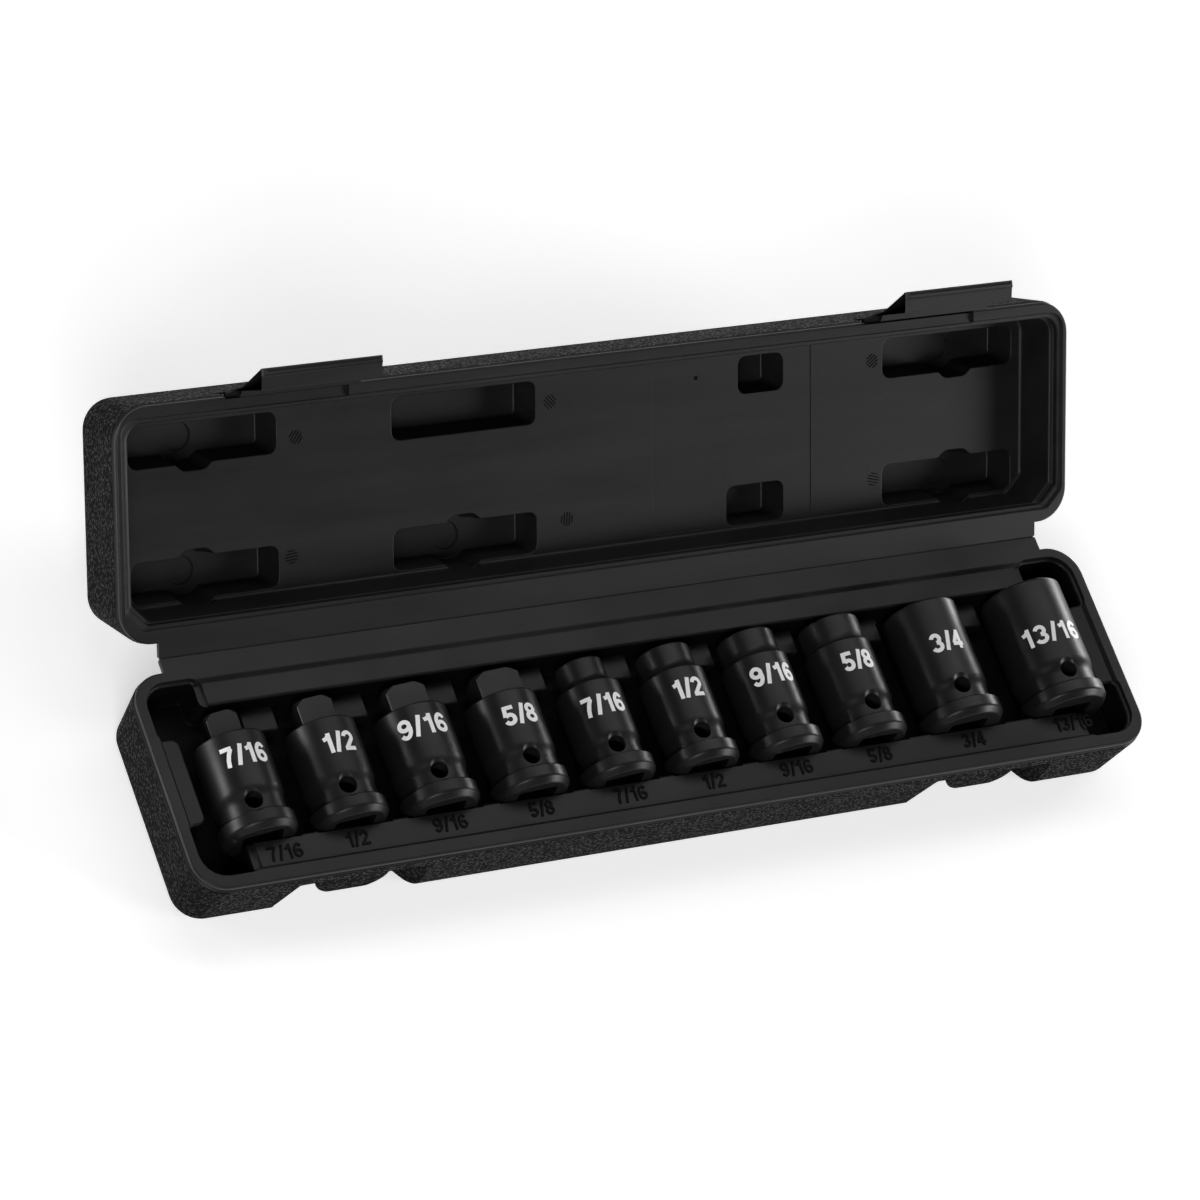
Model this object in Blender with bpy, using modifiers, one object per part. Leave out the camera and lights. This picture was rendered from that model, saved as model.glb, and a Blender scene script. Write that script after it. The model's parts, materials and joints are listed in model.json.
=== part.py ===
"""Pipe plug socket set in a hinged carrying case: ten impact sockets lying in a moulded tray.

World frame: +X along the case, +Y towards the hinge, +Z up, origin under the middle of the base.
The case stands open, with the lid swung back past upright and both latches free.
"""
import math

import bmesh
import bpy
from mathutils import Matrix, Vector

MM = 0.001

# Case
CASE_L = 385.0          # length along X
CASE_W = 82.4           # depth along Y
CASE_R = 12.5           # plan corner radius
BASE_H = 30.0           # table to base rim
LID_H = 33.0            # lid rim to lid back
EDGE_R = 5.0            # rounding where a wall meets the bottom
DRAFT = 2.0             # how far each wall leans in over its height
CLOSE_GAP = 0.3         # between the two rims when shut
HINGE_OUT = 4.7         # fold line behind the back walls
LID_OPEN = 139.8        # lid angle from shut, degrees
WEB_L = 356.5           # length of the folding web
WEB_T = 1.6             # web thickness

# Tray
RECESS_X = 187.5
RECESS_FRONT = -35.3
RECESS_BACK = 36.3
LEVEL_TOP = BASE_H - 1.8        # label bar and shelf
LEVEL_FLOOR = BASE_H - 15.5     # open floor between the wells
SHELF_X = 168.0
SHELF_FRONT = 27.2
BAR_X = 169.0
BAR_BACK = -24.3
RIDGE_X = 6.5           # half width of a divider between two working ends
PAD_X = 180.5
PAD_FRONT = -15.6
PAD_BACK = 16.8

# Lid inside
LID_DEPTH = 18.0
LID_POCKET = 13.0
LID_IN_X = 188.3
LID_IN_FRONT = -34.8
LID_IN_BACK = 34.2

# Latches
LATCH_X = 127.5
LATCH_W = 45.4
LATCH_REST = {"left": 9.7, "right": 11.6}  # swing from shut, degrees
LATCH_ROOT_N = -6.2     # root line, measured from the lid rim towards the base
LATCH_ROOT_V = -2.2     # root line, measured outwards from the front wall
NOTCH_DEEP = 5.0
NOTCH_STEP = 1.3
NOTCH_TALL = 8.8
LATCH_BEAD = 1.5        # radius of the rolled root
CATCH_BAND = 7.5        # solid band of wall that the latch grips
NICHE_FOOT = 31.0       # half width of a latch recess low down, 2 mm in front of the wall
NICHE_HEAD = 26.8       # the same, under the catch band
NICHE_DEEP = 11.0
NICHE_SLANT = 0.76      # how much each side of a latch recess comes in per mm of depth
LUG_X = 13.0            # half width of the lug in each latch recess
LUG_ROUND = 8.0         # radius of the lug's lower corners
LUG_FOOT = 5.0
LUG_BACK = 3.7          # how far the lug's face is set back from the wall

# Sockets
AXIS_Z = BASE_H - 4.0
DRIVE_Y = -24.5
DRIVE_SIDE = 13.0
DRIVE_DEEP = 16.0
PIN_R = 3.1
WELL_GAP = 0.6          # clearance round a socket in its cradle
TURN_STEPS = 28
STUB_ROOT = 4.4         # how far a plug's square starts inside its body
BORE_DEEP = 13.0        # square opening of a cup socket
THROUGH_R = 4.2         # hole between a cup socket's two squares
# name, x, body diameter, flange diameter, shoulder y, end y, square side, pin hole y, roll
PLUGS = [
    ("plug_socket_7_16", -162.5, 25.6, 27.2, 12.4, 23.2, 11.1, -13.4, -16.0),
    ("plug_socket_1_2", -128.0, 25.4, 27.2, 12.4, 23.2, 12.7, -13.3, -11.5),
    ("plug_socket_9_16", -93.3, 26.6, 28.0, 12.4, 22.9, 14.3, -13.4, -11.0),
    ("plug_socket_5_8", -58.0, 26.2, 27.8, 12.4, 22.8, 15.9, -13.2, -7.5),
]
# the same, with the nose diameter before the square side
CUPS = [
    ("cup_socket_7_16", -23.0, 23.8, 26.8, 11.8, 22.2, 17.6, 11.3, -13.2, -11.5),
    ("cup_socket_1_2", 11.0, 24.4, 26.8, 11.8, 22.2, 20.2, 12.9, -13.2, -9.5),
    ("cup_socket_9_16", 45.5, 24.8, 27.2, 12.6, 23.2, 21.2, 14.5, -12.3, -10.5),
    ("cup_socket_5_8", 80.5, 25.2, 27.4, 12.8, 23.4, 22.8, 16.1, -12.6, -4.0),
    ("cup_socket_3_4", 119.5, 27.8, 31.0, 23.4, 23.4, 27.8, 19.3, -11.9, -9.5),
    ("cup_socket_13_16", 164.0, 30.8, 32.0, 24.4, 24.4, 30.8, 20.9, -12.9, -7.5),
]

for old in list(bpy.data.objects):
    bpy.data.objects.remove(old, do_unlink=True)

PARTS = bpy.data.collections.new("socket_set_case")
CUTTERS = bpy.data.collections.new("cutters")
bpy.context.scene.collection.children.link(PARTS)
bpy.context.scene.collection.children.link(CUTTERS)


def material(name, colour, roughness, metallic):
    """A Principled surface."""
    mat = bpy.data.materials.new(name)
    mat.use_nodes = True
    bsdf = mat.node_tree.nodes["Principled BSDF"]
    bsdf.inputs["Base Color"].default_value = (*colour, 1.0)
    bsdf.inputs["Roughness"].default_value = roughness
    bsdf.inputs["Metallic"].default_value = metallic
    mat.diffuse_color = (*colour, 1.0)
    return mat


def make(name, bm, collection=PARTS):
    """Turn a bmesh in millimetres into an object in metres."""
    bmesh.ops.scale(bm, vec=Vector((MM, MM, MM)), verts=bm.verts)
    bmesh.ops.recalc_face_normals(bm, faces=bm.faces)
    mesh = bpy.data.meshes.new(name)
    bm.to_mesh(mesh)
    bm.free()
    obj = bpy.data.objects.new(name, mesh)
    collection.objects.link(obj)
    if collection is CUTTERS:
        obj.hide_render = True
        obj.display_type = "WIRE"
    return obj


def ring(corners, offset=0.0, segs=5):
    """Closed outline through corners (x, y, radius), anticlockwise, moved outwards by offset."""
    count = len(corners)
    points = []
    for i in range(count):
        before = Vector(corners[i - 1][:2])
        here = Vector(corners[i][:2])
        after = Vector(corners[(i + 1) % count][:2])
        come = (here - before).normalized()
        go = (after - here).normalized()
        turn = come.x * go.y - come.y * go.x
        side = 1.0 if turn > 0.0 else -1.0
        out_a = Vector((come.y, -come.x))
        out_b = Vector((go.y, -go.x))
        bisect = (out_a + out_b) / (1.0 + out_a.dot(out_b))
        vertex = here + bisect * offset
        radius = max(corners[i][2] + side * offset, 0.05)
        centre = vertex - bisect * radius * side
        start = math.atan2(side * out_a.y, side * out_a.x)
        sweep = math.atan2(turn, come.dot(go))
        for k in range(segs + 1):
            angle = start + sweep * k / segs
            points.append((centre.x + radius * math.cos(angle), centre.y + radius * math.sin(angle)))
    return points


def stack(bm, rings):
    """Skin a pile of equal outlines, given as (points, z), and cap both ends."""
    layers = []
    for points, z in rings:
        layers.append([bm.verts.new((x, y, z)) for x, y in points])
    count = len(layers[0])
    for low, high in zip(layers, layers[1:]):
        for i in range(count):
            j = (i + 1) % count
            bm.faces.new((low[i], low[j], high[j], high[i]))
    bm.faces.new(list(reversed(layers[0])))
    bm.faces.new(layers[-1])
    return bm


def block(bm, low, high):
    """Add a box between two corners."""
    size = [h - l for l, h in zip(low, high)]
    middle = [(h + l) / 2.0 for l, h in zip(low, high)]
    place = Matrix.Translation(middle) @ Matrix.Diagonal((*size, 1.0))
    bmesh.ops.create_cube(bm, size=1.0, matrix=place)
    return bm


def extrude_x(bm, section, x0, x1):
    """Sweep a (y, z) outline along X."""
    ends = []
    for x in (x0, x1):
        ends.append([bm.verts.new((x, y, z)) for y, z in section])
    count = len(section)
    for i in range(count):
        j = (i + 1) % count
        bm.faces.new((ends[0][i], ends[0][j], ends[1][j], ends[1][i]))
    bm.faces.new(list(reversed(ends[0])))
    bm.faces.new(ends[1])
    return bm


def cut(target, tool, operation="DIFFERENCE"):
    """Combine a target with a tool body."""
    mod = target.modifiers.new(tool.name, "BOOLEAN")
    mod.operation = operation
    mod.solver = "EXACT"
    mod.object = tool
    return mod


def rect(x0, x1, y0, y1, radius):
    """Corners of a rectangle, anticlockwise."""
    return [(x0, y0, radius), (x1, y0, radius), (x1, y1, radius), (x0, y1, radius)]


def smooth(obj, angle=35.0):
    """Shade smooth except across edges sharper than the angle."""
    obj.data.shade_smooth()
    obj.data.set_sharp_from_angle(angle=math.radians(angle))


def half_shell(name, height, sign):
    """Solid outer form of one case half, rim at z = 0 and closed side at sign * height."""
    plan = rect(-CASE_L / 2, CASE_L / 2, -CASE_W / 2, CASE_W / 2, CASE_R)
    levels = []
    for k in range(4):
        angle = math.radians(90.0 * k / 3)
        inset = DRAFT + EDGE_R * (1.0 - math.sin(angle))
        levels.append((-inset, height - EDGE_R * (1.0 - math.cos(angle))))
    levels.append((0.0, 2.7))
    levels.append((-0.9, 2.2))
    levels.append((-0.9, 1.9))
    levels.append((-0.4, 1.5))
    levels.append((-0.4, 0.5))
    levels.append((-0.8, 0.0))
    rings = [(ring(plan, offset, 5), sign * depth) for offset, depth in levels]
    return make(name, stack(bmesh.new(), rings))


def recess_cutter(name, corners, floor, top, flare, segs=3):
    """Pocket with slightly leaning walls and eased mouth edges, cut between two levels."""
    sign = 1.0 if top > floor else -1.0
    rings = [
        (ring(corners, -0.9, segs), floor),
        (ring(corners, -0.4, segs), floor + sign * 0.7),
        (ring(corners, 0.0, segs), top - sign * flare),
        (ring(corners, flare, segs), top),
        (ring(corners, flare, segs), top + sign * 3.0),
    ]
    return make(name, stack(bmesh.new(), rings), CUTTERS)


def well_cutter(name, wells):
    """Round-bottomed channels (x, radius, y0, y1), open upwards so that each socket lifts straight out."""
    bm = bmesh.new()
    for x, radius, y0, y1 in wells:
        section = [(radius, 6.0)]
        for k in range(13):
            angle = math.radians(-180.0 * k / 12)
            section.append((radius * math.cos(angle), radius * math.sin(angle)))
        section.append((-radius, 6.0))
        front = [bm.verts.new((x + u, y0, AXIS_Z + v)) for u, v in section]
        back = [bm.verts.new((x + u, y1, AXIS_Z + v)) for u, v in section]
        count = len(section)
        for i in range(count):
            j = (i + 1) % count
            bm.faces.new((front[i], front[j], back[j], back[i]))
        bm.faces.new(front)
        bm.faces.new(list(reversed(back)))
    return make(name, bm, CUTTERS)


def latch_niche(x):
    """Drafted recess under the catch band, and the rounded lug that hangs in its middle."""
    wall = -CASE_W / 2
    top = BASE_H - CATCH_BAND
    levels = []
    for z, half in ((-1.0, NICHE_FOOT), (EDGE_R, NICHE_FOOT), (top, NICHE_HEAD)):
        inner = half - NICHE_SLANT * (NICHE_DEEP + 2.0)
        plan = [
            (x - half, wall - 2.0, 0.3), (x + half, wall - 2.0, 0.3),
            (x + inner, wall + NICHE_DEEP, 1.5), (x - inner, wall + NICHE_DEEP, 1.5),
        ]
        levels.append((ring(plan, 0.0, 3), z))
    niche = stack(bmesh.new(), levels)

    levels = []
    for k in range(5):
        angle = math.radians(22.5 * k)
        rise = LUG_ROUND * (1.0 - math.cos(angle))
        half = LUG_X - LUG_ROUND * (1.0 - math.sin(angle)) + 0.1 * rise
        outline = rect(x - half, x + half, wall + LUG_BACK, wall + NICHE_DEEP + 1.6, 1.0)
        levels.append((ring(outline, 0.0, 3), LUG_FOOT + rise))
    levels.append((levels[-1][0], top + 1.0))
    return niche, stack(bmesh.new(), levels)


def base_body():
    """Lower half: tray with shelf, label bar, end pads, cradles and latch recesses."""
    base = half_shell("base", BASE_H, -1.0)
    base.data.transform(Matrix.Translation((0.0, 0.0, BASE_H * MM)))

    shallow = rect(-RECESS_X, RECESS_X, RECESS_FRONT, RECESS_BACK, 8.0)
    cut(base, recess_cutter("cut_tray_level", shallow, LEVEL_TOP, BASE_H, 0.5, 5))

    deep = [
        (-RECESS_X, RECESS_FRONT, 8.0), (-BAR_X, RECESS_FRONT, 1.2),
        (-BAR_X, BAR_BACK, 1.0), (BAR_X, BAR_BACK, 1.0),
        (BAR_X, RECESS_FRONT, 1.2), (RECESS_X, RECESS_FRONT, 8.0),
        (RECESS_X, PAD_FRONT, 2.0), (PAD_X, PAD_FRONT, 3.0),
        (PAD_X, PAD_BACK, 3.0), (RECESS_X, PAD_BACK, 2.0),
        (RECESS_X, RECESS_BACK, 8.0), (SHELF_X, RECESS_BACK, 2.0),
        (SHELF_X, SHELF_FRONT, 2.4), (-SHELF_X, SHELF_FRONT, 2.4),
        (-SHELF_X, RECESS_BACK, 2.0), (-RECESS_X, RECESS_BACK, 8.0),
        (-RECESS_X, PAD_BACK, 2.0), (-PAD_X, PAD_BACK, 3.0),
        (-PAD_X, PAD_FRONT, 3.0), (-RECESS_X, PAD_FRONT, 2.0),
    ]
    cut(base, recess_cutter("cut_tray_deep", deep, LEVEL_FLOOR, LEVEL_TOP, 0.7))

    rows = [row[:5] + (row[6] * 1.32,) for row in PLUGS] + [row[:5] + (row[6],) for row in CUPS]
    ridges = bmesh.new()
    for left, right in zip(rows, rows[1:]):
        middle = (left[1] + left[3] / 2 + right[1] - right[3] / 2) / 2.0
        low = (middle - RIDGE_X, 18.0, LEVEL_FLOOR - 2.0)
        block(ridges, low, (middle + RIDGE_X, SHELF_FRONT + 1.0, BASE_H - 9.5))
    cut(base, make("add_ridges", ridges, CUTTERS), "UNION")
    wells = []
    noses = []
    for name, x, body_d, flange_d, shoulder, nose_d in rows:
        wells.append((x, flange_d / 2 + WELL_GAP, DRIVE_Y - 0.8, shoulder + 1.2))
        noses.append((x, nose_d / 2 + WELL_GAP, shoulder, SHELF_FRONT - 0.6))
    cut(base, well_cutter("cut_wells", wells))
    cut(base, well_cutter("cut_nose_wells", noses))

    steps = bmesh.new()
    for side in (-1.0, 1.0):
        for end, y0, y1 in ((BAR_X, RECESS_FRONT + 0.6, BAR_BACK + 1.5),
                            (SHELF_X, SHELF_FRONT - 1.5, RECESS_BACK - 0.6)):
            x0, x1 = sorted((side * (end - 2.6), side * (end + 1.0)))
            block(steps, (x0, y0, LEVEL_TOP - 1.3), (x1, y1, LEVEL_TOP + 1.0))
    cut(base, make("cut_end_steps", steps, CUTTERS))

    for side, tag in ((-1.0, "left"), (1.0, "right")):
        niche, lug = latch_niche(side * LATCH_X)
        cut(base, make("cut_latch_recess_" + tag, niche, CUTTERS))
        cut(base, make("add_lug_" + tag, lug, CUTTERS), "UNION")

    web = bmesh.new()
    edge = CASE_W / 2 + HINGE_OUT - 0.2
    block(web, (-WEB_L / 2, CASE_W / 2 - 2.0, BASE_H - WEB_T), (WEB_L / 2, edge, BASE_H))
    cut(base, make("add_web_lower", web, CUTTERS), "UNION")
    return base


def pocket_corners(x0, x1, y0, y1, bulges):
    """Pocket outline with round bulges; each bulge is (x, side) with side -1 front or 1 back."""
    corners = [(x0, y0, 3.2)]
    for x in [place for place, side in bulges if side < 0]:
        corners += [(x - 7.0, y0, 1.5), (x - 4.2, y0 - 2.5, 4.0)]
        corners += [(x + 4.2, y0 - 2.5, 4.0), (x + 7.0, y0, 1.5)]
    corners += [(x1, y0, 3.2), (x1, y1, 3.2)]
    for x in [place for place, side in bulges if side > 0]:
        corners += [(x + 7.0, y1, 1.5), (x + 4.2, y1 + 2.5, 4.0)]
        corners += [(x - 4.2, y1 + 2.5, 4.0), (x - 7.0, y1, 1.5)]
    corners.append((x0, y1, 3.2))
    return corners


def lid_outline(in_x, in_y):
    """Outline of the inside of the lid, moved inwards by in_x at the ends and in_y at front and back."""
    x = LID_IN_X - in_x
    front = LID_IN_FRONT + in_y
    back = LID_IN_BACK - in_y
    return [
        (-x, front, 6.0), (x, front, 6.0),
        (x, back - 6.5, 1.5), (x - 6.5, back, 1.5),
        (-x + 6.5, back, 1.5), (-x, back - 6.5, 1.5),
    ]


def lid_body():
    """Upper half, built shut and then swung open about the fold line."""
    lid = half_shell("lid", LID_H, 1.0)
    levels = [
        (5.2, 1.9, LID_DEPTH), (4.5, 1.3, LID_DEPTH - 0.8), (2.0, 0.4, 3.4), (0.6, 0.0, 3.0),
        (0.2, -0.2, 0.9), (-1.6, -1.6, 0.9), (-1.8, -1.8, -0.4), (-1.8, -1.8, -3.0),
    ]
    rings = [(ring(lid_outline(in_x, in_y), 0.0, 4), z) for in_x, in_y, z in levels]
    cut(lid, make("cut_lid_inside", stack(bmesh.new(), rings), CUTTERS))

    pockets = [
        (-179.2, -123.2, -30.0, -15.6, [(-154.6, 1)]),
        (-179.2, -123.2, 16.8, 31.4, [(-154.6, 1), (-154.6, -1)]),
        (-78.4, -21.4, -30.0, -14.8, []),
        (-78.4, -21.4, 16.8, 31.4, [(-51.0, 1), (-51.0, -1)]),
        (62.0, 81.0, -30.0, -16.2, []),
        (57.0, 81.0, 16.8, 31.4, []),
        (123.4, 179.4, -30.0, -15.8, [(154.6, 1)]),
        (123.4, 179.4, 16.4, 31.4, [(154.6, 1), (154.6, -1)]),
    ]
    bm = bmesh.new()
    for x0, x1, y0, y1, bulges in pockets:
        corners = pocket_corners(x0, x1, y0, y1, bulges)
        stack(bm, [
            (ring(corners, -2.0, 3), LID_DEPTH + LID_POCKET),
            (ring(corners, 0.0, 3), LID_DEPTH - 0.4),
            (ring(corners, 0.3, 3), LID_DEPTH - 0.6),
            (ring(corners, 0.3, 3), LID_DEPTH - 1.6),
        ])
    cut(lid, make("cut_lid_pockets", bm, CUTTERS))

    # (outwards from the front wall, up from the rim): a shallow step in the rim, and under it the latch's slot
    trail = [
        (2.0, -1.0), (-NOTCH_DEEP, -1.0), (-NOTCH_DEEP, NOTCH_STEP), (-1.35, NOTCH_STEP),
        (-2.3, NOTCH_STEP + 1.2), (-NOTCH_DEEP, NOTCH_STEP + 1.2), (-NOTCH_DEEP, NOTCH_TALL), (2.0, NOTCH_TALL),
    ]
    notches = bmesh.new()
    for side in (-1.0, 1.0):
        x = side * LATCH_X
        reach = LATCH_W / 2 + 0.6
        extrude_x(notches, [(-CASE_W / 2 - out, up) for out, up in trail], x - reach, x + reach)
    cut(lid, make("cut_latch_notches", notches, CUTTERS))

    web = bmesh.new()
    block(web, (-WEB_L / 2, CASE_W / 2 - 2.0, 0.0), (WEB_L / 2, CASE_W / 2 + HINGE_OUT - 0.2, WEB_T))
    cut(lid, make("add_web_upper", web, CUTTERS), "UNION")
    return lid


def latch_body(name):
    """One latch, root line at its origin, hanging straight down as when shut."""
    # (outwards from the front wall, down from the lid rim): hook, inner face, finger lip, outer face
    trail = [
        (-3.4, -4.6), (0.45, 0.3), (0.45, 7.9), (-1.6, 8.2), (-1.6, 9.6), (0.45, 11.6),
        (0.45, 26.0), (0.9, 26.4), (4.7, 27.3), (5.2, 27.6), (5.6, 28.6), (6.4, 29.3),
        (7.3, 29.2), (7.8, 28.4), (7.7, 27.3), (7.3, 26.6), (1.8, 12.5), (-0.9, -3.4),
    ]
    section = []
    for degrees in range(0, 181, 30):
        angle = math.radians(degrees)
        section.append((-LATCH_BEAD * math.cos(angle), LATCH_BEAD * math.sin(angle)))
    for out, down in trail:
        section.append((LATCH_ROOT_V - out, LATCH_ROOT_N - down))
    return make(name, extrude_x(bmesh.new(), section, -LATCH_W / 2, LATCH_W / 2))


def revolve(name, profile):
    """Turn an (r, y) outline about the socket's own axis."""
    mesh = bpy.data.meshes.new(name)
    points = [(r * MM, 0.0, -y * MM) for r, y in profile]
    mesh.from_pydata(points, [(i, i + 1) for i in range(len(points) - 1)], [])
    obj = bpy.data.objects.new(name, mesh)
    PARTS.objects.link(obj)
    screw = obj.modifiers.new("turn", "SCREW")
    screw.axis = "Z"
    screw.steps = TURN_STEPS
    screw.render_steps = TURN_STEPS
    screw.use_merge_vertices = True
    screw.merge_threshold = 0.00001
    screw.use_smooth_shade = True
    return obj


def body_profile(body, flange, shoulder, end, nose):
    """Outline (r, y) of a socket from drive end to working end; nose None ends it at the shoulder."""
    front = DRIVE_Y
    profile = [
        (0.0, front), (flange - 2.0, front), (flange, front + 2.1), (flange, front + 6.7),
        (body - 0.9, front + 7.0), (body - 0.9, front + 12.4), (body, front + 15.2),
    ]
    if nose is None:
        profile += [(body, shoulder - 1.2), (body - 1.2, shoulder), (0.0, shoulder)]
    elif nose < body - 0.5:
        drop = body - nose
        profile += [
            (body, shoulder - 0.6), (body - 0.6, shoulder), (nose + 0.35 * drop, shoulder + 0.5),
            (nose, shoulder + 2.3), (nose, end - 0.8), (nose - 0.8, end), (0.0, end),
        ]
    else:
        profile += [(body, end - 1.5), (body - 1.5, end), (0.0, end)]
    return profile


def square_stub(name, side, shoulder, end):
    """A plug's square end: a square bar turned down to chamfered corners."""
    stub = bmesh.new()
    half = side / 2.0
    block(stub, (-half, -half, -end), (half, half, -(shoulder - STUB_ROOT + 0.4)))
    tool = make("stub_" + name, stub, CUTTERS)
    turned = [
        (0.0, shoulder - STUB_ROOT), (side * 0.66, shoulder - STUB_ROOT), (side * 0.66, end - 2.6),
        (side * 0.56 + 0.6, end - 1.2), (side * 0.56 - 0.6, end), (0.0, end),
    ]
    limit = revolve("turned_" + name, turned)
    PARTS.objects.unlink(limit)
    CUTTERS.objects.link(limit)
    limit.hide_render = True
    limit.display_type = "WIRE"
    cut(tool, limit, "INTERSECT")
    return tool


def hole(name, radius, depth, place):
    """A round drill."""
    bm = bmesh.new()
    bmesh.ops.create_cone(
        bm, cap_ends=True, segments=16, radius1=radius, radius2=radius, depth=depth, matrix=place)
    return make(name, bm, CUTTERS)


def socket(name, x, body_d, flange_d, shoulder, end, side, pin_y, roll, nose_d=None):
    """One socket lying along Y with its drive end to the front; local Z runs from back to drive end."""
    nose = None if nose_d is None else nose_d / 2.0
    obj = revolve(name, body_profile(body_d / 2.0, flange_d / 2.0, shoulder, end, nose))
    half = side / 2.0
    if nose is None:
        cut(obj, square_stub(name, side, shoulder, end), "UNION")
    else:
        bore = block(bmesh.new(), (-half, -half, -(end + 1.0)), (half, half, BORE_DEEP - end))
        cut(obj, make("bore_" + name, bore, CUTTERS))
        cut(obj, hole("through_" + name, THROUGH_R, 30.0, Matrix.Identity(4)))

    half = DRIVE_SIDE / 2.0
    drive = block(bmesh.new(), (-half, -half, -(DRIVE_Y + DRIVE_DEEP)), (half, half, 1.0 - DRIVE_Y))
    cut(obj, make("drive_" + name, drive, CUTTERS))
    across = Matrix.Translation((0.0, 0.0, -pin_y)) @ Matrix.Rotation(math.radians(90.0), 4, "X")
    cut(obj, hole("pin_" + name, PIN_R, 60.0, across))

    turn = Matrix.Rotation(math.radians(roll), 4, "Y") @ Matrix.Rotation(math.radians(90.0), 4, "X")
    lay = Matrix.Translation((x * MM, 0.0, AXIS_Z * MM)) @ turn
    for mod in [m for m in obj.modifiers if m.type == "BOOLEAN"]:
        mod.object.matrix_world = lay
        for inner in mod.object.modifiers:
            inner.object.matrix_world = lay
    obj.matrix_world = lay
    return obj


PLASTIC = material("case_plastic", (0.022, 0.022, 0.023), 0.5, 0.0)
LATCHES = material("latch_plastic", (0.024, 0.024, 0.025), 0.45, 0.0)
STEEL = material("black_phosphate_steel", (0.03, 0.03, 0.032), 0.38, 0.9)

base = base_body()
base.data.materials.append(PLASTIC)
smooth(base)

hinge = Matrix.Translation((0.0, (CASE_W / 2 + HINGE_OUT) * MM, (BASE_H + CLOSE_GAP / 2) * MM))
swing = hinge @ Matrix.Rotation(math.radians(-LID_OPEN), 4, "X")
to_axis = Matrix.Translation((0.0, -(CASE_W / 2 + HINGE_OUT) * MM, CLOSE_GAP / 2 * MM))

lid = lid_body()
lid.data.materials.append(PLASTIC)
for mod in lid.modifiers:
    mod.object.data.transform(to_axis)
    mod.object.matrix_world = swing
lid.data.transform(to_axis)
lid.matrix_world = swing
smooth(lid)

for side, tag in ((-1.0, "left"), (1.0, "right")):
    latch = latch_body("latch_" + tag)
    latch.data.materials.append(LATCHES)
    root = Matrix.Translation((side * LATCH_X * MM, (-CASE_W / 2 - LATCH_ROOT_V) * MM, -LATCH_ROOT_N * MM))
    swing_latch = Matrix.Rotation(math.radians(-LATCH_REST[tag]), 4, "X")
    latch.matrix_world = swing @ to_axis @ root @ swing_latch
    smooth(latch)

for name, x, body_d, flange_d, shoulder, end, side, pin_y, roll in PLUGS:
    plug = socket(name, x, body_d, flange_d, shoulder, end, side, pin_y, roll)
    plug.data.materials.append(STEEL)
for name, x, body_d, flange_d, shoulder, end, nose_d, side, pin_y, roll in CUPS:
    cup = socket(name, x, body_d, flange_d, shoulder, end, side, pin_y, roll, nose_d)
    cup.data.materials.append(STEEL)

bpy.context.view_layer.update()
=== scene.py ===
"""Looks for the pipe plug socket set: fine mouldings, turned sockets, printed sizes and a pale studio.

Lengths are in millimetres unless a name says otherwise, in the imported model's own frame.
"""

import json
import math

import bmesh
import bpy
from mathutils import Matrix, Vector


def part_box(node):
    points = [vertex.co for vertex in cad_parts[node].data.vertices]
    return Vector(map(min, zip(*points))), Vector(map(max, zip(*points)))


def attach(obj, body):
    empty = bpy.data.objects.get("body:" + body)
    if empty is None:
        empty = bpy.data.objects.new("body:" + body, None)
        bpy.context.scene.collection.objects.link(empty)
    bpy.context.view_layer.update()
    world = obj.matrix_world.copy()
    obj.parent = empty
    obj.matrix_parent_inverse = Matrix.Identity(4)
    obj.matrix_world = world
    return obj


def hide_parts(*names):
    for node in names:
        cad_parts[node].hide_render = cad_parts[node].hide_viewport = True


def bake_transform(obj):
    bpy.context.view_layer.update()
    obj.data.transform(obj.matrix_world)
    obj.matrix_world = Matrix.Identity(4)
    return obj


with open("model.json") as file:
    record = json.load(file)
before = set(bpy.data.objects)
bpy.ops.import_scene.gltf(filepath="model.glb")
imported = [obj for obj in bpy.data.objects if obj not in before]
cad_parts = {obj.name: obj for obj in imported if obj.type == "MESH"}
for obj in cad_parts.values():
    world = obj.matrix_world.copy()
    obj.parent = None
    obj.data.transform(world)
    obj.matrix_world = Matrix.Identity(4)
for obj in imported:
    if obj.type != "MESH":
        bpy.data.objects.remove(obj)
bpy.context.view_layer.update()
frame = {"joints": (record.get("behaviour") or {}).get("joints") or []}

MM = 0.001
base_low, base_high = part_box("base")
joints = {joint["name"]: joint for joint in frame["joints"]}

# Case, from the frame
CASE_L = (base_high.x - base_low.x) / MM
CASE_W = -2.0 * base_low.y / MM
BASE_H = base_high.z / MM
HINGE_Y = joints["lid_hinge"]["pos_m"][1] / MM
HINGE_Z = joints["lid_hinge"]["pos_m"][2] / MM
LID_OPEN = -joints["lid_hinge"]["range_deg"][0]
CLOSE_GAP = 2.0 * (HINGE_Z - BASE_H)

# Both case halves, outside
CASE_R = 12.5           # corners in plan
LID_H = 33.0
EDGE_R = 5.0            # rounding from the walls to the underside or the lid's back
DRAFT = 2.0             # how far the walls lean in
GROOVE = 2.7            # from the rim down to where the pebbled wall begins
WEB_L = 356.5
WEB_T = 1.6
FOLD_PLAY = 0.2         # from each half of the web to the fold line

# Tray; names in X are half lengths
RECESS_X = 187.5
RECESS_FRONT = -35.3
RECESS_BACK = 36.3
RECESS_R = 8.0
LEVEL_TOP = BASE_H - 1.8
LEVEL_FLOOR = BASE_H - 15.5
SHELF_X = 168.0
SHELF_FRONT = 27.2
BAR_X = 169.0
BAR_BACK = -24.3
RIDGE_X = 6.5
RIDGE_TOP = BASE_H - 9.5
PAD_X = 180.5
PAD_FRONT = -15.6
PAD_BACK = 16.8

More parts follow.
